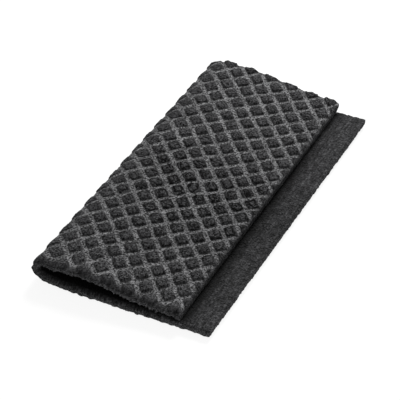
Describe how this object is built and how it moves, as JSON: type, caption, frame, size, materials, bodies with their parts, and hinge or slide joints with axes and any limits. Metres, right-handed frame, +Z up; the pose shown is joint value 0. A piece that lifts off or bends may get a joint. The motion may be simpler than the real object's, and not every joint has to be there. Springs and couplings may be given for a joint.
{
  "type": "folded dishcloth",
  "caption": "Sponge dishcloth folded once, smooth inside, with a raised diamond pattern outside and the lower layer reaching past the upper one.",
  "frame": {"origin": "bottom centre of the folded cloth's bounding box, on the surface it lies on", "axes": "+Z up out of the surface, +Y along the fold towards the fold's deeper end, +X from the fold towards the free edges"},
  "size_m": [0.0994, 0.2, 0.0202],
  "materials": {
    "sponge_cloth": "matt dyed cellulose sponge"
  },
  "bodies": {
    "root": {"dishcloth": "sponge_cloth"}
  },
  "joints": []
}
